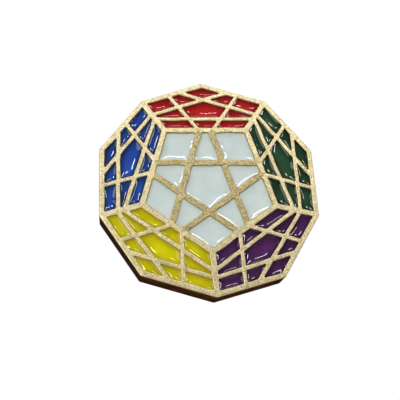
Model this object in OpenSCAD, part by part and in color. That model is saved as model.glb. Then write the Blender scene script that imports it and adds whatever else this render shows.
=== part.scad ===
// Soft-enamel lapel pin with a flat drawing of a twelve-sided twisty puzzle, and its butterfly clutch.
// Upright as worn: the front faces -Y, +Z is up, and the origin is at the centre of the plate's back.

/* [Badge] */
// Height of the ten-sided outline, from its bottom corner to its top corner
badge_h = 26.2; // [20:0.2:40]
// Thickness of the struck plate, from its back to the tops of the raised lines
plate_t = 2.8; // [1.6:0.1:3]
// Depth of the colour pockets below the tops of the raised lines
pocket_depth = 0.6; // [0.4:0.05:0.8]
// How far the enamel stops short of the tops of the raised lines
enamel_drop = 0.28; // [0.1:0.01:0.32]

/* [Raised lines] */
// Width of the rim around the outline
rim_w = 0.58; // [0.4:0.02:0.8]
// Width of the lines between two faces of the puzzle
border_w = 0.66; // [0.3:0.02:0.8]
// Width of the cut lines on the front face
front_cut_w = 0.68; // [0.3:0.02:0.8]
// Width of the cut lines on the five side faces
side_cut_w = 0.45; // [0.3:0.01:0.6]
// Where a cut line meets the side of a face, as a share of that side
cut_share = 0.43; // [0.38:0.01:0.44]

/* [Post] */
// Diameter of the post
post_d = 1.1; // [0.9:0.05:1.2]
// Length of the post from the plate's back to its point
post_len = 8; // [8:0.5:10]
// Diameter of the post's flat head
post_head_d = 4.4; // [3:0.2:5]
// Thickness of the post's flat head
post_head_t = 0.4; // [0.3:0.05:0.5]

/* [Clutch] */
// Diameter of the clutch's cap
cap_d = 11.5; // [11:0.1:12]
// Thickness of the cap's sheet
cap_sheet = 0.35; // [0.3:0.05:0.4]
// Gap between the plate's back and the cap when the clutch is pushed home
home_gap = 0.6; // [0.5:0.05:1]
// Thickness of the spring strip and of both wings
spring_t = 0.3; // [0.25:0.01:0.32]
// Width of the spring strip and of the wings at their roots
spring_w = 3.8; // [3:0.1:3.8]
// Gap between the post and the gripping edge of each wing
grip_gap = 0.02; // [0.01:0.01:0.03]

/* [Hidden] */
$fn = 64;
small = 0.02;

// Artwork corners are placed on a 26.2 mm drawing, x to the right and y up as seen from the front.
art = badge_h / 26.2;
front_face = art * [[4.7, 6.9], [-5, 6.65], [-7.7, -2.6], [-0.2, -8], [7.4, -2.7]];
spoke_ends = art * [[7.4, 10.9], [-7.6, 10.5], [-12.3, -3.9], [0, -13], [12.3, -3.9]];
side_tips = art * [[-0.4, 13.2], [-12.4, 4.1], [-8, -10.5], [7.6, -11], [12.4, 4.3]];
// How far the cut lines of each face, the front face first, lie off their even places.
cut_shift = art * [[-0.1, -0.15], [0, -0.15], [0.05, 0], [-0.05, -0.05], [-0.1, -0.1], [0, -0.25]];
outline = [for (k = [0 : 4]) each [spoke_ends[k], side_tips[k]]];

// The front face comes first, and the side faces follow counterclockwise from the top.
face_names = ["white", "red", "blue", "yellow", "purple", "green"];
face_colours = [
    [0.86, 0.89, 0.88], [0.75, 0.1, 0.16], [0.12, 0.2, 0.6],
    [0.85, 0.82, 0.05], [0.3, 0.1, 0.43], [0.06, 0.24, 0.15]
];
gold = [0.9, 0.8, 0.58];
tin = [0.75, 0.75, 0.72];
sides = 5;
pocket_floor = plate_t - pocket_depth;
enamel_t = pocket_depth - enamel_drop;
front_pocket_r = 0.3;
side_pocket_r = 0.12;
corner_steps = 3;

// Post: shaft, grip groove, gripping stretch and point, measured back from the plate.
post_r = post_d / 2;
head_r = post_head_d / 2;
groove_start = post_len - 2.8;
groove_depth = 0.17;
groove_w = 0.5;
point_len = 0.8;
point_r = 0.12;
solder_w = 0.35;
solder_h = 0.22;

// Cap: floor, bend, wall and rolled edge.
cap_r = cap_d / 2;
cap_wall_top = 1.35;
cap_bend_r = 0.7;
roll_r = 0.28;
cap_hole_r = post_r + 0.2;
collar_h = 0.35;
collar_w = 0.35;

// Spring strip: flat middle on the cap's floor, and a curled cradle at each end for a wing's root.
knuckle_x = 4.2;
knuckle_r = 0.37;
cradle_gap = 0.05;
cradle_r = knuckle_r + cradle_gap;
knuckle_up = cap_sheet + cradle_r + spring_t;
cradle_lip = 30;
strip_hole_r = cap_hole_r + collar_w + 0.2;
strip_top = cap_sheet + spring_t;

// Tabs lanced from the cap's floor and folded over the strip.
tab_w = 1.8;
tab_reach = 0.45;
tab_gap = 0.05;
tab_window = 0.8;

// Wings: a wing's side profile runs from its root, over the post and out to its finger pad.
wing_path = [[-knuckle_x, knuckle_up], [-knuckle_x, 2], [-2.4, 2.9], [2.4, 4.3], [4.1, 7]];
wing_bend_r = 0.55;
neck_w = 2.1;
neck_half_len = 2.1;
pad_w = 5.2;
pad_low = 4.7;
pad_top = 7.05;
pad_corner_r = 1.3;
grip_r = 0.62;
grip_slot_end = 1.75;
window_w = 2.4;
window_root_x = -1.5;
window_pad_x = 1.9;
tongue_w = 1;
outer_wing_w = 4;

fills = ["centre", "corner_1", "corner_2", "corner_3", "corner_4", "corner_5", "edges"];
function enamel_name(f, fill) = str(face_names[f], "_enamel_", fill);

// ---- Plane geometry ----

function unit(v) = v / norm(v);
function toward(a, b, share) = a + (b - a) * share;
function wrap(i) = (i + sides) % sides;

// Corners of a face, counterclockwise: the front pentagon, or the side face out past its side k = f - 1.
function face_outline(f) = f == 0 ? front_face : let (k = f - 1)
    [front_face[k], spoke_ends[k], side_tips[k], spoke_ends[wrap(k + 1)], front_face[wrap(k + 1)]];

// Distance from side i of a face to the pockets: the rim's whole width, or half a shared line's.
function side_gap(f, i) = (f > 0 && (i == 1 || i == 2)) ? rim_w : border_w / 2;
function cut_gap(f) = (f == 0 ? front_cut_w : side_cut_w) / 2;

// A line is [start, end, gap], and what is kept lies to its left by at least the gap.
function side_line(f, i) = let (c = face_outline(f)) [c[i], c[wrap(i + 1)], side_gap(f, i)];
function cut_point(f, from, to) =
    let (c = face_outline(f)) toward(c[wrap(from)], c[wrap(to)], cut_share) + cut_shift[f];
function cut_start(f, i) = cut_point(f, i, i - 1);
function cut_end(f, i) = cut_point(f, i + 1, i + 2);
function inside_cut(f, i) = [cut_start(f, i), cut_end(f, i), cut_gap(f)];
function outside_cut(f, i) = [cut_end(f, i), cut_start(f, i), cut_gap(f)];

function room(p, line) = let (d = unit(line[1] - line[0])) (p - line[0]) * [-d.y, d.x] - line[2];
function kept(shape, line) = [
    for (i = [0 : len(shape) - 1])
        let (p = shape[i], q = shape[(i + 1) % len(shape)], at_p = room(p, line), at_q = room(q, line))
        each concat(at_p >= 0 ? [p] : [], at_p * at_q < 0 ? [toward(p, q, at_p / (at_p - at_q))] : [])
];
function trimmed(shape, lines, i = 0) =
    i == len(lines) ? shape : trimmed(kept(shape, lines[i]), lines, i + 1);

// A convex outline with each corner turned into an arc, smaller where a side is short.
function rounded(shape, r) = [
    for (i = [0 : len(shape) - 1])
        let (
            p = shape[i],
            back = shape[(i + len(shape) - 1) % len(shape)] - p,
            ahead = shape[(i + 1) % len(shape)] - p,
            half = acos(unit(back) * unit(ahead)) / 2,
            reach = min(r / tan(half), 0.4 * min(norm(back), norm(ahead))),
            arc_r = reach * tan(half),
            middle = p + unit(unit(back) + unit(ahead)) * arc_r / sin(half),
            first = atan2(-back.y, -back.x) - 90
        )
        for (step = [0 : corner_steps])
            let (a = first + (180 - 2 * half) * step / corner_steps)
            middle + arc_r * [cos(a), sin(a)]
];

function all_sides(f) = [for (i = [0 : sides - 1]) side_line(f, i)];
function pocket(f, cuts) =
    rounded(trimmed(face_outline(f), concat(all_sides(f), cuts)), f == 0 ? front_pocket_r : side_pocket_r);
function centre_pocket(f) = pocket(f, [for (i = [0 : sides - 1]) inside_cut(f, i)]);
function corner_pocket(f, i) = pocket(f, [outside_cut(f, wrap(i - 1)), outside_cut(f, i)]);
function edge_pocket(f, i) =
    pocket(f, [inside_cut(f, wrap(i - 1)), outside_cut(f, i), inside_cut(f, wrap(i + 1))]);
function pockets(f) = concat(
    [centre_pocket(f)],
    [for (i = [0 : sides - 1]) corner_pocket(f, i)],
    [for (i = [0 : sides - 1]) edge_pocket(f, i)]
);

// Both sides of a strip of thickness t along a path of arcs and straights.
function bend(path, i, r) = let (
    back = unit(path[i - 1] - path[i]),
    ahead = unit(path[i + 1] - path[i]),
    half = acos(back * ahead) / 2,
    middle = path[i] + unit(back + ahead) * r / sin(half),
    from = path[i] + back * r / tan(half) - middle,
    to = path[i] + ahead * r / tan(half) - middle,
    turn = from.x * to.y - from.y * to.x > 0 ? 180 - 2 * half : 2 * half - 180,
    first = atan2(from.y, from.x)
) [for (step = [0 : 4]) middle + r * [cos(first + turn * step / 4), sin(first + turn * step / 4)]];
function smooth(path, r) = concat(
    [path[0]],
    [for (i = [1 : len(path) - 2]) each bend(path, i, r)],
    [path[len(path) - 1]]
);
function side_step(path, i, t) = let (
    last = len(path) - 1,
    before = unit(path[max(i, 1)] - path[max(i, 1) - 1]),
    after = unit(path[min(i, last - 1) + 1] - path[min(i, last - 1)]),
    along = unit(before + after)
) [-along.y, along.x] * t / 2 / (along * before);
function strip_outline(path, t) = concat(
    [for (i = [0 : len(path) - 1]) path[i] + side_step(path, i, t)],
    [for (i = [len(path) - 1 : -1 : 0]) path[i] - side_step(path, i, t)]
);

// ---- Placing ----

// Draws on the plate's front: x to the right, y up, z out from the plate's back toward the viewer.
module on_front() {
    rotate([90, 0, 0])
        children();
}

// Draws behind the plate: z runs back along the post.
module behind() {
    rotate([-90, 0, 0])
        children();
}

// Draws in the clutch: z runs back from the cap's outer face with the clutch pushed home.
module in_clutch() {
    translate([0, home_gap, 0])
        behind()
        children();
}

// Extrudes a side profile (across, back) to a width that is centred on the post.
module across(width) {
    rotate([90, 0, 0])
        linear_extrude(width, center = true)
        children();
}

// ---- Badge ----

module badge_plate() {
    color(gold)
        on_front()
        difference() {
            linear_extrude(plate_t)
                polygon(outline);
            for (f = [0 : sides], shape = pockets(f))
                translate([0, 0, pocket_floor])
                    linear_extrude(plate_t)
                    polygon(shape);
        }
}

module enamel(f, shape) {
    color(face_colours[f])
        on_front()
        translate([0, 0, pocket_floor])
        linear_extrude(enamel_t)
        polygon(shape);
}

module enamel_edges(f) {
    for (i = [0 : sides - 1])
        enamel(f, edge_pocket(f, i));
}

// ---- Post ----

module post() {
    groove_r = post_r - groove_depth;
    color(gold)
        behind()
        rotate_extrude()
        polygon([
            [0, 0],
            [head_r, 0],
            [head_r, post_head_t],
            [post_r, post_head_t],
            [post_r, groove_start],
            [groove_r, groove_start + groove_depth / 2],
            [groove_r, groove_start + groove_w - groove_depth / 2],
            [post_r, groove_start + groove_w],
            [post_r, post_len - point_len],
            [point_r, post_len],
            [0, post_len]
        ]);
}

module post_solder() {
    color(tin)
        behind()
        rotate_extrude()
        polygon([[head_r, 0], [head_r + solder_w, 0], [head_r, solder_h]]);
}

// ---- Clutch ----

module cap_profile() {
    floor_w = cap_r - cap_bend_r - cap_hole_r;
    translate([cap_hole_r, 0])
        square([floor_w, cap_sheet]);
    translate([cap_hole_r, 0])
        square([collar_w, cap_sheet + collar_h]);
    translate([cap_r - cap_sheet, cap_bend_r])
        square([cap_sheet, cap_wall_top - cap_bend_r]);
    translate([cap_r - roll_r, cap_wall_top])
        circle(roll_r);
    intersection() {
        translate([cap_r - cap_bend_r, 0])
            square(cap_bend_r);
        translate([cap_r - cap_bend_r, cap_bend_r])
            difference() {
                circle(cap_bend_r);
                circle(cap_bend_r - cap_sheet);
            }
    }
}

// One tab: a riser beside the strip, and a fold over it.
module cap_tab() {
    riser = spring_w / 2 + tab_gap;
    translate([-tab_w / 2, riser, small])
        cube([tab_w, cap_sheet, strip_top + cap_sheet - small]);
    translate([-tab_w / 2, riser - tab_gap - tab_reach, strip_top])
        cube([tab_w, tab_reach + tab_gap + small, cap_sheet]);
}

module clutch_cap() {
    window = spring_w / 2 + tab_gap + cap_sheet;
    color(gold)
        in_clutch() {
            difference() {
                rotate_extrude()
                    cap_profile();
                for (turn = [0, 180])
                    rotate(turn)
                        translate([-tab_w / 2, window, -1])
                        cube([tab_w, tab_window, 2]);
            }
            for (turn = [0, 180])
                rotate(turn)
                    cap_tab();
        }
}

// Curled end of the strip, around the root of the wing at the right.
module cradle() {
    translate([knuckle_x, knuckle_up])
        difference() {
            circle(cradle_r + spring_t);
            circle(cradle_r);
            translate([-2, -2])
                square([2, 4]);
            rotate(cradle_lip)
                translate([-2, 0])
                square([4, 2]);
        }
}

module clutch_spring() {
    color(gold)
        in_clutch()
        difference() {
            across(spring_w) {
                translate([-knuckle_x, cap_sheet])
                    square([2 * knuckle_x, spring_t]);
                cradle();
                mirror([1, 0])
                    cradle();
            }
            cylinder(h = 2, r = strip_hole_r);
        }
}

// A whole wing as one bent strip, rooted at the left, with its root knuckle.
module wing_blank(width) {
    across(width)
        polygon(strip_outline(smooth(wing_path, wing_bend_r), spring_t));
    translate([-knuckle_x, 0, knuckle_up])
        rotate([90, 0, 0])
        cylinder(h = spring_w, r = knuckle_r, center = true);
}

// Outline of the finger pad, seen along X, with its two far corners rounded.
module pad_outline() {
    straight = pad_top - pad_corner_r;
    translate([-pad_w / 2, pad_low])
        square([pad_w, straight - pad_low]);
    translate([pad_corner_r - pad_w / 2, pad_low])
        square([pad_w - 2 * pad_corner_r, pad_top + 1 - pad_low]);
    for (side = [-1, 1])
        translate([side * (pad_w / 2 - pad_corner_r), straight])
            circle(pad_corner_r);
}

// Everything that the wing's outline keeps: root, neck and finger pad.
module wing_limits(neck) {
    translate([-6, -spring_w / 2, 0])
        cube([6 - neck_half_len, spring_w, 5]);
    translate([-neck_half_len - small, -neck / 2, 0])
        cube([2 * neck_half_len + 2 * small, neck, pad_low]);
    translate([neck_half_len, -spring_w / 2, 3])
        cube([4, spring_w, pad_low - 3 + small]);
    translate([neck_half_len, 0, 0])
        rotate([90, 0, 90])
        linear_extrude(4)
        pad_outline();
}

// Narrow-necked wing: its slot's rounded end grips the post from the root side.
module clutch_inner_wing() {
    color(gold)
        in_clutch()
        difference() {
            intersection() {
                wing_blank(pad_w);
                wing_limits(neck_w);
            }
            translate([grip_r - post_r - grip_gap, 0, 2])
                cylinder(h = 4, r = grip_r);
            translate([0, -grip_r, 2])
                cube([grip_slot_end, 2 * grip_r, 4]);
        }
}

// Windowed wing, rooted at the right: a tongue in its window grips the post from the other side.
module clutch_outer_wing() {
    color(gold)
        in_clutch()
        mirror([1, 0, 0])
        difference() {
            intersection() {
                wing_blank(pad_w);
                wing_limits(outer_wing_w);
            }
            difference() {
                translate([window_root_x, -window_w / 2, 2])
                    cube([window_pad_x - window_root_x, window_w, 4]);
                translate([window_root_x - 1, -tongue_w / 2, 1])
                    cube([1 - window_root_x, tongue_w, 6]);
            }
            translate([0, 0, 2])
                cylinder(h = 4, r = post_r + grip_gap);
        }
}

badge_plate();
for (f = [0 : sides]) {
    enamel(f, centre_pocket(f));
    for (i = [0 : sides - 1])
        enamel(f, corner_pocket(f, i));
    enamel_edges(f);
}
post();
post_solder();
clutch_cap();
clutch_spring();
clutch_inner_wing();
clutch_outer_wing();
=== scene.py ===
"""Looks of the enamel lapel pin: struck gold lines, poured enamel, and the post and clutch behind it."""

import math

import bpy
from mathutils import Matrix, Vector, geometry, noise


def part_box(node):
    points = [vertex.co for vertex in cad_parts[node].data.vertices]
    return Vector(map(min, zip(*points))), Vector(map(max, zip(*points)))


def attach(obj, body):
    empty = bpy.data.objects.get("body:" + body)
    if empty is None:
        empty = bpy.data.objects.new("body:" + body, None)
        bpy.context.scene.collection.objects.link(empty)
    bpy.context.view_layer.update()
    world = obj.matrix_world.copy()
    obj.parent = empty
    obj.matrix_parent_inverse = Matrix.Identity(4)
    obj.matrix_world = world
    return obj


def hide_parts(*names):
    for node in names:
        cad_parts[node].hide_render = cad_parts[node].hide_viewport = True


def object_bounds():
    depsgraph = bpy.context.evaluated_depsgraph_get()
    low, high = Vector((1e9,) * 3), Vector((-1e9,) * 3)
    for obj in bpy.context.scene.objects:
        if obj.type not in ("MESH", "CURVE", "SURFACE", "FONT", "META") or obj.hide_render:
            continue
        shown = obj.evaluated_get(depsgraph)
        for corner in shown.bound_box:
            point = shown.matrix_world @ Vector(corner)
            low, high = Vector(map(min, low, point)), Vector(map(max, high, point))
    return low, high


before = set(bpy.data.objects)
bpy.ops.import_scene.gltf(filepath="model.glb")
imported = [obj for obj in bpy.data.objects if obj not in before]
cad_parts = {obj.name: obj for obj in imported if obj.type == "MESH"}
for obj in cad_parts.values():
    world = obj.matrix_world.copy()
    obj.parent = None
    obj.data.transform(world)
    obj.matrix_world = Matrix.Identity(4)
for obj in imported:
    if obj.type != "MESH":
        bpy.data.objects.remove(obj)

cad_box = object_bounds()

MM = 0.001
FACES = ("white", "red", "blue", "yellow", "purple", "green")
FILLS = ("centre", "corner_1", "corner_2", "corner_3", "corner_4", "corner_5", "edges")

# Camera: how far the pin leans back from it, which way, its roll, distance, lens and framing.
LEAN = math.radians(25.2)
LEAN_WAY = math.radians(70.1)
ROLL = math.radians(1.57)
CAMERA_DISTANCE = 68 * MM
LENS = 54.21
SHIFT = (-0.0259, -0.0424)

# Struck metal, in millimetres. WOBBLE is how far the die's lines stray, over WOBBLE_SIZE.
LINE_EDGE_R = 0.1
LINE_EDGE_STEPS = 3
RIM_EDGE_R = 0.14
BACK_EDGE_R = 0.12
BACK_EDGE_BREAK = 0.3
OUTLINE_CORNER_R = 0.4
OUTLINE_SPACING = 0.5
OUTLINE_TURN_STEPS = 6
POCKET_DRAFT = 0.04
FRONT_POCKET_R = 0.2
SIDE_POCKET_R = 0.09
POCKET_SPACING = 0.22
POCKET_TURN_STEPS = 4
CAD_POCKET_TURN_STEPS = 3
FRONT_BORDER_OUT = 1.03
WOBBLE = 0.07
WOBBLE_SIZE = 1.6
OTHER_NOISE = Vector((31, 17, 5))

# Enamel, in millimetres: it is lowest in the middle of a pocket and creeps up the walls.
ENAMEL_HIGH = 0.15
FRONT_SLOPE = 0.45
SIDE_SLOPE = 0.95
CREEP_SHARE = 0.6
CREEP_MOST = 0.42
ENAMEL_OVERLAP = 0.02
# How far from the walls the painted shade on the enamel reaches.
SHADE_LENGTH = 0.32
ENAMEL_RINGS = (1.0, 0.965, 0.925, 0.88, 0.83, 0.77, 0.7, 0.6, 0.48, 0.34, 0.18)
ENAMEL_RIPPLE = 0.022
RIPPLES_PER_MM = 1.2
RIPPLE_LAYER = 9


# ---- Outlines, in millimetres: x to the right and z up, seen from the front ----

def loops_at(node, level):
    """Outlines of a CAD node's flat faces at y = level, as lists of 2-D points."""
    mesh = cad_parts[node].data
    ahead = {}
    for face in mesh.polygons:
        corners = [mesh.vertices[i].co for i in face.vertices]
        if any(abs(c.y - level) > 1e-6 for c in corners):
            continue
        keys = [(round(c.x / MM, 4), round(c.z / MM, 4)) for c in corners]
        for a, b in zip(keys, keys[1:] + keys[:1]):
            if ahead.get(b) and a in ahead[b]:
                ahead[b].remove(a)
            else:
                ahead.setdefault(a, []).append(b)
    loops = []
    while any(ahead.values()):
        start = here = next(k for k, v in ahead.items() if v)
        loop = []
        while not loop or here != start:
            loop.append(Vector(here))
            here = ahead[here].pop()
        loops.append(loop)
    return loops


def area(loop):
    return sum(a.x * b.y - b.x * a.y for a, b in zip(loop, loop[1:] + loop[:1])) / 2


def crossing(side_a, side_b):
    """Where two sides, each a point and a direction, would meet."""
    (p, u), (q, v) = side_a, side_b
    share = (q - p).cross(v) / u.cross(v)
    return p + u * share


def sharp_corners(loop, steps):
    """Corners of a rounded outline as they were before rounding, each arc of it having that many steps."""
    if area(loop) < 0:
        loop = loop[::-1]
    stride = steps + 1
    pairs = list(zip(loop, loop[1:] + loop[:1]))
    first = max(range(stride), key=lambda k: sum((b - a).length for a, b in pairs[k::stride]))
    sides = [(a, (b - a).normalized()) for a, b in pairs[first::stride]]
    return [crossing(sides[i - 1], sides[i]) for i in range(len(sides))]


def wobbled(point):
    """The hand-cut die is a little off everywhere, and smoothly so."""
    at = Vector((point.x, point.y, 0)) / WOBBLE_SIZE
    return point + Vector((noise.noise(at), noise.noise(at + OTHER_NOISE))) * WOBBLE


def rounded(corners, radius, spacing, turn_steps):
    """A convex outline with rounded corners: pairs of point and outward normal, counterclockwise."""
    count = len(corners)
    out = []
    for i, corner in enumerate(corners):
        back, ahead = corners[i - 1] - corner, corners[(i + 1) % count] - corner
        half = back.angle(ahead) / 2
        reach = min(radius / math.tan(half), 0.4 * min(back.length, ahead.length))
        arc_r = reach * math.tan(half)
        middle = corner + (back.normalized() + ahead.normalized()).normalized() * arc_r / math.sin(half)
        first = math.atan2(-back.y, -back.x) - math.pi / 2
        turn = math.pi - 2 * half
        for step in range(turn_steps + 1):
            angle = first + turn * step / turn_steps
            normal = Vector((math.cos(angle), math.sin(angle)))
            out.append((middle + normal * arc_r, normal))
        following = corners[(i + 2) % count] - corners[(i + 1) % count]
        next_half = (-ahead).angle(following) / 2
        next_reach = min(radius / math.tan(next_half), 0.4 * min(ahead.length, following.length))
        start, end = out[-1][0], corners[(i + 1) % count] - ahead.normalized() * next_reach
        bits = max(1, round((end - start).length / spacing))
        for bit in range(1, bits):
            out.append((start.lerp(end, bit / bits), out[-1][1]))
    return out


def grown(outline, distance):
    """The outline's points, moved outward by a distance."""
    return [point + normal * distance for point, normal in outline]


# ---- Mesh building ----

class Builder:
    """Collects rings of points and the faces between them, then makes one mesh object."""

    def __init__(self):
        self.points, self.faces, self.kinds, self.smooth = [], [], [], []
        self.shades = []

    def add(self, point, height, shade=0):
        self.points.append(Vector((point.x, -height, point.y)) * MM)
        self.shades.append(shade)
        return len(self.points) - 1

    def ring(self, points, height):
        return [self.add(p, height) for p in points]

    def face(self, indices, kind=0, smooth=True):
        self.faces.append(indices)
        self.kinds.append(kind)
        self.smooth.append(smooth)

    def band(self, front, back, kind=0, smooth=True):
        """Faces between two rings, the first nearer the viewer, for a wall that faces outward."""
        for i in range(len(front)):
            j = (i + 1) % len(front)
            self.face([front[i], back[i], back[j], front[j]], kind, smooth)

    def build(self, name, materials):
        mesh = bpy.data.meshes.new(name)
        mesh.from_pydata(self.points, [], self.faces)
        for polygon, kind, smooth in zip(mesh.polygons, self.kinds, self.smooth):
            polygon.material_index = kind
            polygon.use_smooth = smooth
        for material in materials:
            mesh.materials.append(material)
        shade = mesh.attributes.new("shade", "FLOAT", "POINT")
        shade.data.foreach_set("value", self.shades)
        mesh.update()
        made = bpy.data.objects.new(name, mesh)
        bpy.context.scene.collection.objects.link(made)
        return made


# ---- Materials ----

def new_material(name):
    made = bpy.data.materials.new(name)
    made.use_nodes = True
    return made, made.node_tree.nodes["Principled BSDF"]


def texture(material, kind, scale, **settings):
    """A procedural texture on the object's own coordinates, scale being features per millimetre."""
    nodes, links = material.node_tree.nodes, material.node_tree.links
    made = nodes.new(kind)
    made.inputs["Scale"].default_value = scale / MM
    for key, value in settings.items():
        made.inputs[key].default_value = value
    place = nodes.new("ShaderNodeTexCoord")
    links.new(place.outputs["Object"], made.inputs["Vector"])
    return made


def ramp(material, source, stops):
    """A colour ramp from a texture's value, with (place, colour) stops."""
    nodes, links = material.node_tree.nodes, material.node_tree.links
    made = nodes.new("ShaderNodeValToRGB")
    elements = made.color_ramp.elements
    while len(elements) < len(stops):
        elements.new(0.5)
    for element, (place, colour) in zip(elements, stops):
        element.position = place
        element.color = (*colour, 1)
    links.new(source, made.inputs["Fac"])
    return made.outputs["Color"]


def blend(material, way, first, second):
    """Two colours mixed in full by one of Blender's ways, such as MULTIPLY."""
    made = material.node_tree.nodes.new("ShaderNodeMix")
    made.data_type = "RGBA"
    made.blend_type = way
    made.inputs["Factor"].default_value = 1
    material.node_tree.links.new(first, made.inputs["A"])
    material.node_tree.links.new(second, made.inputs["B"])
    return made.outputs["Result"]


def spread(material, source, low, high, from_low=0.3, from_high=0.7):
    """A texture's value mapped onto a range."""
    nodes, links = material.node_tree.nodes, material.node_tree.links
    made = nodes.new("ShaderNodeMapRange")
    for key, value in (("From Min", from_low), ("From Max", from_high), ("To Min", low), ("To Max", high)):
        made.inputs[key].default_value = value
    links.new(source, made.inputs["Value"])
    return made.outputs["Result"]


def bump(material, height, depth_mm, normal=None):
    """A bumpy normal, on top of another one if given."""
    nodes, links = material.node_tree.nodes, material.node_tree.links
    made = nodes.new("ShaderNodeBump")
    made.inputs["Strength"].default_value = 1
    made.inputs["Distance"].default_value = depth_mm * MM
    links.new(height, made.inputs["Height"])
    if normal:
        links.new(normal, made.inputs["Normal"])
    return made.outputs["Normal"]


def gold(name, light, dark, rough, grain, grain_size, pit, glint=(1, 1, 1)):
    """Plated metal: patches of two tones, darker pits in its grain, uneven gloss and a struck surface."""
    made, shader = new_material(name)
    links = made.node_tree.links
    shader.inputs["Metallic"].default_value = 1
    patches = texture(made, "ShaderNodeTexNoise", 0.7, Detail=4, Roughness=0.6)
    tone = ramp(made, patches.outputs["Fac"], ((0.38, dark), (0.62, light)))
    fine = texture(made, "ShaderNodeTexNoise", 1 / grain_size, Detail=2, Roughness=0.6)
    pits = ramp(made, fine.outputs["Fac"], ((0.34, pit), (0.54, (1, 1, 1))))
    links.new(blend(made, "MULTIPLY", tone, pits), shader.inputs["Base Color"])
    shader.inputs["Specular Tint"].default_value = (*glint, 1)
    smears = texture(made, "ShaderNodeTexNoise", 2.3, Detail=3)
    links.new(spread(made, smears.outputs["Fac"], rough[0], rough[1]), shader.inputs["Roughness"])
    waves = texture(made, "ShaderNodeTexNoise", 1.1, Detail=2)
    rolling = bump(made, waves.outputs["Fac"], 0.04)
    links.new(bump(made, fine.outputs["Fac"], grain, rolling), shader.inputs["Normal"])
    return made


def enamel_material(name, deep, light, shadow, glint):
    """Poured enamel: glossy, clouded in two tones, and darkened by painted shade near the walls."""
    made, shader = new_material(name)
    links = made.node_tree.links
    clouds = texture(made, "ShaderNodeTexNoise", 0.45, Detail=3, Roughness=0.55)
    body = ramp(made, clouds.outputs["Fac"], ((0.35, deep), (0.65, light)))
    shade = made.node_tree.nodes.new("ShaderNodeAttribute")
    shade.attribute_name = "shade"
    # Painted shade: near the walls the enamel's colour is multiplied towards its shadow tone.
    painted_wall_shade = ramp(made, shade.outputs["Fac"], ((0.1, (1, 1, 1)), (0.8, shadow)))
    links.new(blend(made, "MULTIPLY", body, painted_wall_shade), shader.inputs["Base Color"])
    shader.inputs["Specular Tint"].default_value = (*glint, 1)
    haze = texture(made, "ShaderNodeTexNoise", 1.4, Detail=4)
    links.new(spread(made, haze.outputs["Fac"], 0.02, 0.06), shader.inputs["Roughness"])
    skin = texture(made, "ShaderNodeTexNoise", 0.9, Detail=2)
    links.new(bump(made, skin.outputs["Fac"], 0.02), shader.inputs["Normal"])
    return made


def solder_material():
    """Dull, mottled grey solder."""
    made, shader = new_material("dull_solder")
    links = made.node_tree.links
    shader.inputs["Metallic"].default_value = 1
    mottle = texture(made, "ShaderNodeTexNoise", 2.5, Detail=5, Roughness=0.7)
    links.new(ramp(made, mottle.outputs["Fac"], ((0.3, (0.32, 0.31, 0.29)), (0.7, (0.58, 0.57, 0.54)))),
              shader.inputs["Base Color"])
    links.new(spread(made, mottle.outputs["Fac"], 0.35, 0.6), shader.inputs["Roughness"])
    links.new(bump(made, mottle.outputs["Fac"], 0.08), shader.inputs["Normal"])
    return made


DEEP_PIT = (0.5, 0.42, 0.28)
SOFT_PIT = (0.66, 0.58, 0.42)
FAINT_PIT = (0.88, 0.84, 0.74)

# Each metal's two tones, range of roughness, grain's depth and size in millimetres, and tone in the pits.
# The side wall's dark brown is painted shade on its gold plating, and it also tints its glints.
METALS = {
    "line": ((0.9, 0.80, 0.50), (0.80, 0.69, 0.405), (0.38, 0.56), 0.035, 0.16, SOFT_PIT),
    # The sand tone's deeper grain is the metal's own; its darker gold is a painted dimmer reflection of the
    # broad flat line tops.
    "sand": ((0.62, 0.525, 0.28), (0.54, 0.44, 0.22), (0.34, 0.52), 0.07, 0.17, DEEP_PIT),
    # Painted shade: the side wall's dark brown stands in for shade on gold plating.
    "edge": ((0.22, 0.13, 0.074), (0.14, 0.08, 0.044), (0.35, 0.5), 0.02, 0.15, DEEP_PIT, (0.3, 0.15, 0.1)),
    "back": ((0.86, 0.72, 0.44), (0.76, 0.61, 0.34), (0.3, 0.46), 0.006, 0.2, FAINT_PIT),
    # Painted shade: the pocket walls' darker gold stands in for the shadow on them.
    "wall": ((0.34, 0.25, 0.1), (0.26, 0.18, 0.06), (0.4, 0.55), 0.02, 0.12, DEEP_PIT),
    "clutch": ((0.9, 0.74, 0.42), (0.82, 0.64, 0.33), (0.14, 0.26), 0.003, 0.2, FAINT_PIT),
    "spring": ((0.88, 0.7, 0.38), (0.78, 0.59, 0.29), (0.18, 0.32), 0.004, 0.2, FAINT_PIT),
}

# Each enamel's two body tones, the painted shade its colour is multiplied by near the walls, and its glint's
# tint.
ENAMELS = {
    "white": ((0.58, 0.67, 0.65), (0.64, 0.725, 0.71), (0.95, 0.93, 0.86), (1, 1, 1)),
    "red": ((0.42, 0.006, 0.007), (0.58, 0.014, 0.015), (0.4, 0.2, 0.2), (1, 0.85, 0.78)),
    "blue": ((0.011, 0.056, 0.34), (0.022, 0.096, 0.48), (0.25, 0.3, 0.25), (1, 1, 1)),
    "yellow": ((0.62, 0.57, 0.001), (0.74, 0.69, 0.002), (0.62, 0.55, 0.5), (1, 0.96, 0.5)),
    "purple": ((0.052, 0.009, 0.068), (0.088, 0.018, 0.112), (0.38, 0.35, 0.35), (1, 0.94, 0.96)),
    "green": ((0.009, 0.045, 0.018), (0.023, 0.084, 0.036), (0.3, 0.3, 0.3), (1, 1, 0.88)),
}


# ---- Badge ----

# The plate's materials, and which of them a face of it takes.
PLATE_METALS = ("line", "sand", "edge", "back", "wall")
LINE, SAND_PAINTED_DIM, SIDE_PAINTED_SHADE, BACK, WALL_PAINTED_SHADE = range(len(PLATE_METALS))


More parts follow.
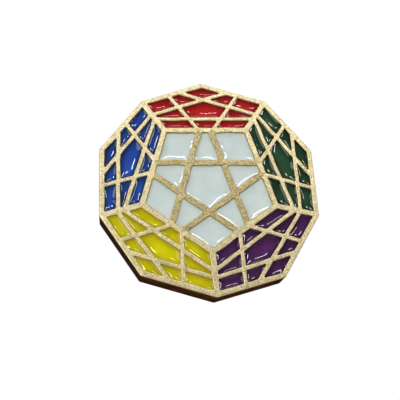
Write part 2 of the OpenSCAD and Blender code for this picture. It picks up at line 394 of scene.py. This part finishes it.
def pocket_corners(node):
    """Each pocket outline of an enamel node, as unrounded corners."""
    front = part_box(node)[0].y
    return [sharp_corners(loop, CAD_POCKET_TURN_STEPS) for loop in loops_at(node, front)]


def pocket_radius(face):
    return FRONT_POCKET_R if face == "white" else SIDE_POCKET_R


def pocket_outline(corners, face):
    outline = rounded(corners, pocket_radius(face), POCKET_SPACING, POCKET_TURN_STEPS)
    return [(wobbled(point), normal) for point, normal in outline]


def all_pockets():
    """(face, node, corners) for every pocket of the badge."""
    return [
        (face, f"{face}_enamel_{fill}", corners)
        for face in FACES
        for fill in FILLS
        for corners in pocket_corners(f"{face}_enamel_{fill}")
    ]


def inside(point, loop):
    """Whether an outline holds a point: a line to its right then crosses it an odd number of times."""
    held = False
    for a, b in zip(loop, loop[1:] + loop[:1]):
        if (a.y > point.y) != (b.y > point.y):
            if point.x < a.x + (point.y - a.y) * (b.x - a.x) / (b.y - a.y):
                held = not held
    return held


def plate_top(builder, rim, holes, front_loop):
    """The flat tops of the raised lines: the rim's inside less every pocket's rounded edge."""
    loops = [rim] + holes
    points = [builder.points[i] for loop in loops for i in loop]
    flat = [Vector((p.x, p.z)) / MM for p in points]
    names = [i for loop in loops for i in loop]
    edges, start = [], 0
    for loop in loops:
        edges += [(start + i, start + (i + 1) % len(loop)) for i in range(len(loop))]
        start += len(loop)
    verts, _, faces, origins, _, _ = geometry.delaunay_2d_cdt(flat, edges, [], 1, 1e-6)
    shapes = []
    for loop in holes:
        outline = [Vector((builder.points[i].x, builder.points[i].z)) / MM for i in loop]
        middle = sum(outline, Vector((0, 0))) / len(outline)
        shapes.append((middle, max((p - middle).length for p in outline), outline))
    for face in faces:
        centre = sum((verts[i] for i in face), Vector((0, 0))) / len(face)
        near = (s for s in shapes if (centre - s[0]).length < s[1])
        if any(inside(centre, outline) for _, _, outline in near):
            continue
        indices = [names[origins[i][0]] for i in face]
        if area([verts[i] for i in face]) < 0:
            indices = indices[::-1]
        # Line tops inside the front face's border take the sand tone, whose darker gold is partly a painted
        # dimmer reflection.
        builder.face(indices, SAND_PAINTED_DIM if inside(centre, front_loop) else LINE, False)


def front_border(pockets):
    """An outline along the middle of the front face's border, from its corner pockets' outermost corners."""
    loop = []
    for i in range(1, 6):
        node = f"white_enamel_corner_{i}"
        corners = [corner for _, owner, shape in pockets if owner == node for corner in shape]
        loop.append(max(corners, key=lambda corner: corner.length) * FRONT_BORDER_OUT)
    return loop


def rounded_edge(builder, outline, radius, top, way):
    """Rings down a quarter round, from the flat top to the wall's outline. way is 1 inward, -1 outward."""
    rings = []
    for step in range(LINE_EDGE_STEPS + 1):
        angle = math.pi / 2 * step / LINE_EDGE_STEPS
        out = -way * radius * (1 - math.sin(angle))
        rings.append(builder.ring(grown(outline, out), top - radius * (1 - math.cos(angle))))
    return rings


def plate_side(builder, outline, top):
    """The rim's rounded edge, the side wall and the back. Returns the ring round the rim's flat top."""
    rings = rounded_edge(builder, outline, RIM_EDGE_R, top, 1)
    for front, back in zip(rings, rings[1:]):
        builder.band(front, back)
    foot = builder.ring(grown(outline, 0), BACK_EDGE_R)
    # The side wall takes the dark brown that stands in for painted shade.
    builder.band(rings[-1], foot, SIDE_PAINTED_SHADE)
    broken = BACK_EDGE_R * BACK_EDGE_BREAK
    inner = builder.ring(grown(outline, -broken), broken)
    builder.band(foot, inner, SIDE_PAINTED_SHADE)
    flat = builder.ring(grown(outline, -BACK_EDGE_R), 0)
    builder.band(inner, flat, SIDE_PAINTED_SHADE)
    builder.face(flat[::-1], BACK, False)
    return rings[0]


def plate_pocket(builder, wall, kind, top, floor):
    """A pocket's rounded edge, drafted wall and floor. Returns the ring round its mouth."""
    rings = rounded_edge(builder, wall, LINE_EDGE_R, top, -1)
    for edge, deeper in zip(rings, rings[1:]):
        builder.band(deeper, edge, kind)
    bottom = builder.ring(grown(wall, -POCKET_DRAFT), floor)
    # The pocket walls take the darker gold of painted shade.
    builder.band(bottom, rings[-1], WALL_PAINTED_SHADE)
    builder.face(bottom, WALL_PAINTED_SHADE, False)
    return rings[0]


def badge_plate(pockets, materials):
    """The struck plate: rounded rim and lines, pocket walls and floors, side wall and back."""
    low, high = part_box("badge_plate")
    top = -low.y / MM
    floor = -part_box(pockets[0][1])[1].y / MM
    builder = Builder()
    corners = loops_at("badge_plate", high.y)[0]
    corners = corners[::-1] if area(corners) < 0 else corners
    outline = rounded(corners, OUTLINE_CORNER_R, OUTLINE_SPACING, OUTLINE_TURN_STEPS)
    rim = plate_side(builder, outline, top)
    holes = []
    for face, _, shape in pockets:
        kind = SAND_PAINTED_DIM if face == "white" else LINE
        holes.append(plate_pocket(builder, pocket_outline(shape, face), kind, top, floor))
    plate_top(builder, rim, holes, front_border(pockets))
    made = builder.build("struck_plate", materials)
    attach(made, "badge")
    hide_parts("badge_plate")


def gaps(point, corners):
    """How far a point lies from each wall."""
    return [max((b - a).normalized().cross(point - a), 0) for a, b in zip(corners, corners[1:] + corners[:1])]


def creep(point, corners, length):
    """How strongly the walls are felt at a point, from 0 far from them to 1 at any of them."""
    return 1 - math.prod(1 - math.exp(-gap / length) for gap in gaps(point, corners))


def enamel_fill(builder, face, corners, top, floor):
    """One pocket's enamel: a dished and rippled skin, the walls under it and a flat bottom."""
    outline = pocket_outline(corners, face)
    wall = grown(outline, ENAMEL_OVERLAP)
    centre = sum(wall, Vector((0, 0))) / len(wall)
    moved = [wobbled(c) for c in corners]
    reach = min(CREEP_SHARE * min(gaps(centre, moved)), CREEP_MOST)
    depth = reach * (FRONT_SLOPE if face == "white" else SIDE_SLOPE)

    def skin(point):
        sunk = depth * (1 - creep(point, moved, reach))
        at = Vector((point.x, point.y, RIPPLE_LAYER)) * RIPPLES_PER_MM
        height = top - ENAMEL_HIGH - sunk + ENAMEL_RIPPLE * noise.noise(at)
        # Each skin point also stores how near it lies to the walls, for the painted shade there.
        return builder.add(point, height, creep(point, moved, SHADE_LENGTH))

    rings = []
    for share in ENAMEL_RINGS:
        rings.append([skin(centre.lerp(p, share)) for p in wall])
    for outer, inner in zip(rings, rings[1:]):
        builder.band(inner, outer)
    middle = skin(centre)
    last = rings[-1]
    for i in range(len(last)):
        builder.face([middle, last[i], last[(i + 1) % len(last)]])
    bottom = builder.ring(wall, floor)
    builder.band(rings[0], bottom, 0, False)
    builder.face(bottom[::-1], 0, False)


def enamel_pieces(pockets, materials):
    """One piece for each CAD node of enamel, with all of that node's pockets in it."""
    top = -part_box("badge_plate")[0].y / MM
    floor = -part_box(pockets[0][1])[1].y / MM
    for node in dict.fromkeys(node for _, node, _ in pockets):
        face = node.split("_")[0]
        builder = Builder()
        for corners in (shape for _, owner, shape in pockets if owner == node):
            enamel_fill(builder, face, corners, top, floor)
        made = builder.build(node.replace("_enamel_", "_fill_"), [materials[face]])
        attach(made, "badge")
        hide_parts(node)


# ---- Post and clutch ----

# How much the stamped edges are broken, in millimetres, and from what angle an edge counts as one.
CAP_EDGE = 0.04
STRIP_EDGE = 0.03
EDGE_ANGLE = math.radians(35)


def dress(node, material, edge_mm):
    """A CAD node that keeps its shape: its own material and slightly broken edges."""
    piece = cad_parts[node]
    piece.data.materials.clear()
    piece.data.materials.append(material)
    for polygon in piece.data.polygons:
        polygon.use_smooth = True
    if edge_mm:
        edges = piece.modifiers.new("broken_edges", "BEVEL")
        edges.width = edge_mm * MM
        edges.segments = 2
        edges.limit_method = "ANGLE"
        edges.angle_limit = EDGE_ANGLE
        edges.harden_normals = False
    even = piece.modifiers.new("even_shading", "WEIGHTED_NORMAL")
    even.keep_sharp = True


# ---- Studio ----

LIGHT_DISTANCE = 0.3
FLOOR_HALF = 4
FLOOR_DOWN = 0.15
# The direction in which the surroundings are brightest, then how they fade in from dim to bright towards it.
BRIGHT_WAY = (0.04, -0.44, 0.9)
DIM_WORLD = (0.55, (0.06, 0.055, 0.05, 1))
BRIGHT_WORLD = (0.95, (0.28, 0.28, 0.28, 1))


def add_camera():
    """The camera, placed by how the pin leans back from it."""
    way = Vector((math.cos(LEAN_WAY), math.sin(LEAN_WAY), 0))
    lean = Matrix.Rotation(LEAN, 3, Vector((-way.y, way.x, 0)))
    roll = Matrix.Rotation(ROLL, 3, "Z")
    upright = Matrix(((1, 0, 0), (0, 0, 1), (0, -1, 0)))
    turn = (lean @ roll @ upright).transposed()
    target = Vector((0, cad_box[0].y, 0))
    data = bpy.data.cameras.new("camera")
    data.lens = LENS
    data.shift_x, data.shift_y = SHIFT
    data.clip_start, data.clip_end = MM, 5
    made = bpy.data.objects.new("camera", data)
    made.matrix_world = Matrix.Translation(target + turn.col[2] * CAMERA_DISTANCE) @ turn.to_4x4()
    bpy.context.scene.collection.objects.link(made)
    bpy.context.scene.camera = made


def add_light(name, way, size, brightness):
    """A soft box or lamp that faces the pin. way is (degrees to the right, degrees up) from the front."""
    azimuth, elevation = (math.radians(angle) for angle in way)
    place = Vector((math.sin(azimuth) * math.cos(elevation), -math.cos(azimuth) * math.cos(elevation),
                    math.sin(elevation))) * LIGHT_DISTANCE
    data = bpy.data.lights.new(name, "AREA")
    data.shape = "RECTANGLE"
    data.size, data.size_y = size
    data.energy = math.pi * size[0] * size[1] * brightness
    made = bpy.data.objects.new(name, data)
    made.location = place
    made.rotation_euler = (-place).to_track_quat("-Z", "Y").to_euler()
    bpy.context.scene.collection.objects.link(made)


def add_lights():
    """Weak boxes overhead, to the left and below, and bright lamps that the enamel shows as glints."""
    add_light("overhead_box", (5, 76), (0.24, 0.1), 1.5)
    add_light("left_box", (-46, 4), (0.2, 0.22), 3)
    add_light("low_box", (10, -50), (0.2, 0.14), 1.5)
    add_light("window", (4, 41), (0.07, 0.022), 19)
    add_light("right_lamp", (32, 38), (0.035, 0.045), 20)
    add_light("right_strip", (48, 12), (0.022, 0.09), 23)
    add_light("left_lamp", (-30, 35), (0.035, 0.035), 28)
    add_light("behind_box", (170, 25), (0.2, 0.14), 2)


def add_world():
    """White to the camera. What the pin reflects is bright in front and above, and dark behind."""
    world = bpy.data.worlds.new("studio")
    bpy.context.scene.world = world
    world.use_nodes = True
    nodes, links = world.node_tree.nodes, world.node_tree.links
    nodes.clear()
    out = nodes.new("ShaderNodeOutputWorld")
    place = nodes.new("ShaderNodeTexCoord")
    toward = nodes.new("ShaderNodeVectorMath")
    toward.operation = "DOT_PRODUCT"
    toward.inputs[1].default_value = BRIGHT_WAY
    links.new(place.outputs["Generated"], toward.inputs[0])
    reach = nodes.new("ShaderNodeMapRange")
    reach.inputs["From Min"].default_value = -1
    reach.inputs["From Max"].default_value = 1
    links.new(toward.outputs["Value"], reach.inputs["Value"])
    tent = nodes.new("ShaderNodeValToRGB")
    for element, stop in zip(tent.color_ramp.elements, (DIM_WORLD, BRIGHT_WORLD)):
        element.position, element.color = stop
    links.new(reach.outputs["Result"], tent.inputs["Fac"])
    sky = nodes.new("ShaderNodeBackground")
    links.new(tent.outputs["Color"], sky.inputs["Color"])
    paper = nodes.new("ShaderNodeBackground")
    paper.inputs["Color"].default_value = (1, 1, 1, 1)
    seen = nodes.new("ShaderNodeLightPath")
    mix = nodes.new("ShaderNodeMixShader")
    links.new(seen.outputs["Is Camera Ray"], mix.inputs["Fac"])
    links.new(sky.outputs["Background"], mix.inputs[1])
    links.new(paper.outputs["Background"], mix.inputs[2])
    links.new(mix.outputs["Shader"], out.inputs["Surface"])


def add_floor():
    """A plain pale floor, well below the pin, which is held in the air as it is on a coat."""
    sides = ((-1, -1), (1, -1), (1, 1), (-1, 1))
    corners = [(x * FLOOR_HALF, y * FLOOR_HALF, -FLOOR_DOWN) for x, y in sides]
    mesh = bpy.data.meshes.new("floor")
    mesh.from_pydata(corners, [], [(0, 1, 2, 3)])
    made = bpy.data.objects.new("floor", mesh)
    material, shader = new_material("pale_floor")
    shader.inputs["Base Color"].default_value = (0.92, 0.92, 0.91, 1)
    shader.inputs["Roughness"].default_value = 0.8
    mesh.materials.append(material)
    bpy.context.scene.collection.objects.link(made)


add_camera()
add_lights()
add_world()
add_floor()
bpy.context.scene.view_settings.view_transform = "Standard"

pocket_list = all_pockets()
metals = {name: gold(name + "_gold", *settings) for name, settings in METALS.items()}
enamels = {face: enamel_material(face + "_enamel", *settings) for face, settings in ENAMELS.items()}

badge_plate(pocket_list, [metals[name] for name in PLATE_METALS])
enamel_pieces(pocket_list, enamels)
dress("post", metals["clutch"], 0)
dress("post_solder", solder_material(), 0)
dress("clutch_cap", metals["clutch"], CAP_EDGE)
for strip in ("clutch_spring", "clutch_inner_wing", "clutch_outer_wing"):
    dress(strip, metals["spring"], STRIP_EDGE)
